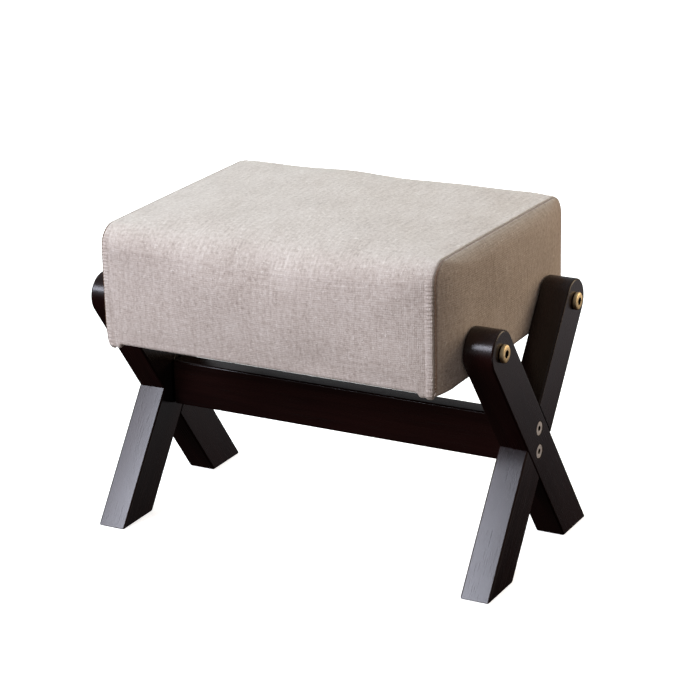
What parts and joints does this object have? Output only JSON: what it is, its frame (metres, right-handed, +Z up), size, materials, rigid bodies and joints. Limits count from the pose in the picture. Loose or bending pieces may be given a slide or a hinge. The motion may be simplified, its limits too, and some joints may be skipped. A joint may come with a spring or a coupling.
{
  "type": "upholstered footstool",
  "caption": "Low footstool with a padded, fabric-covered block seat bolted between two X-shaped dark wood end frames that a flat wooden stretcher joins.",
  "frame": {"origin": "on the floor, under the middle of the seat", "axes": "+Z up; +X to the right, from one X frame to the other; the front faces -Y"},
  "size_m": [0.3794, 0.2578, 0.288],
  "materials": {
    "lacquered_wood": "solid wood under a near-black espresso lacquer, satin to semi-gloss, faint grain",
    "woven_fabric": "mottled grey-beige chenille or linen-look weave",
    "foam": "open-cell upholstery foam, cream, not visible when assembled",
    "pine": "bare sawn pine, not visible when assembled",
    "plywood": "bare plywood, not visible when assembled",
    "dust_cloth": "thin black non-woven sheet, matt",
    "brass_plate": "brass-coloured plating on steel, polished rim",
    "zinc_plate": "bright zinc plating"
  },
  "bodies": {
    "root": {"dust_cover": "dust_cloth", "foam_pad": "foam", "front_rail": "pine", "front_wadding": "foam", "left_cover_panel": "woven_fabric", "left_front_leg": "lacquered_wood", "left_front_lower_rail_screw": "zinc_plate", "left_front_seat_bolt": "brass_plate", "left_front_t_nut": "zinc_plate", "left_front_upper_rail_screw": "zinc_plate", "left_lower_stretcher_screw": "zinc_plate", "left_rail": "pine", "left_rear_leg": "lacquered_wood", "left_rear_lower_rail_screw": "zinc_plate", "left_rear_seat_bolt": "brass_plate", "left_rear_t_nut": "zinc_plate", "left_rear_upper_rail_screw": "zinc_plate", "left_upper_stretcher_screw": "zinc_plate", "left_wadding": "foam", "main_cover_panel": "woven_fabric", "rear_rail": "pine", "rear_wadding": "foam", "right_cover_panel": "woven_fabric", "right_front_leg": "lacquered_wood", "right_front_lower_rail_screw": "zinc_plate", "right_front_seat_bolt": "brass_plate", "right_front_t_nut": "zinc_plate", "right_front_upper_rail_screw": "zinc_plate", "right_lower_stretcher_screw": "zinc_plate", "right_rail": "pine", "right_rear_leg": "lacquered_wood", "right_rear_lower_rail_screw": "zinc_plate", "right_rear_seat_bolt": "brass_plate", "right_rear_t_nut": "zinc_plate", "right_rear_upper_rail_screw": "zinc_plate", "right_upper_stretcher_screw": "zinc_plate", "right_wadding": "foam", "seat_deck": "plywood", "stretcher": "lacquered_wood"}
  },
  "joints": []
}
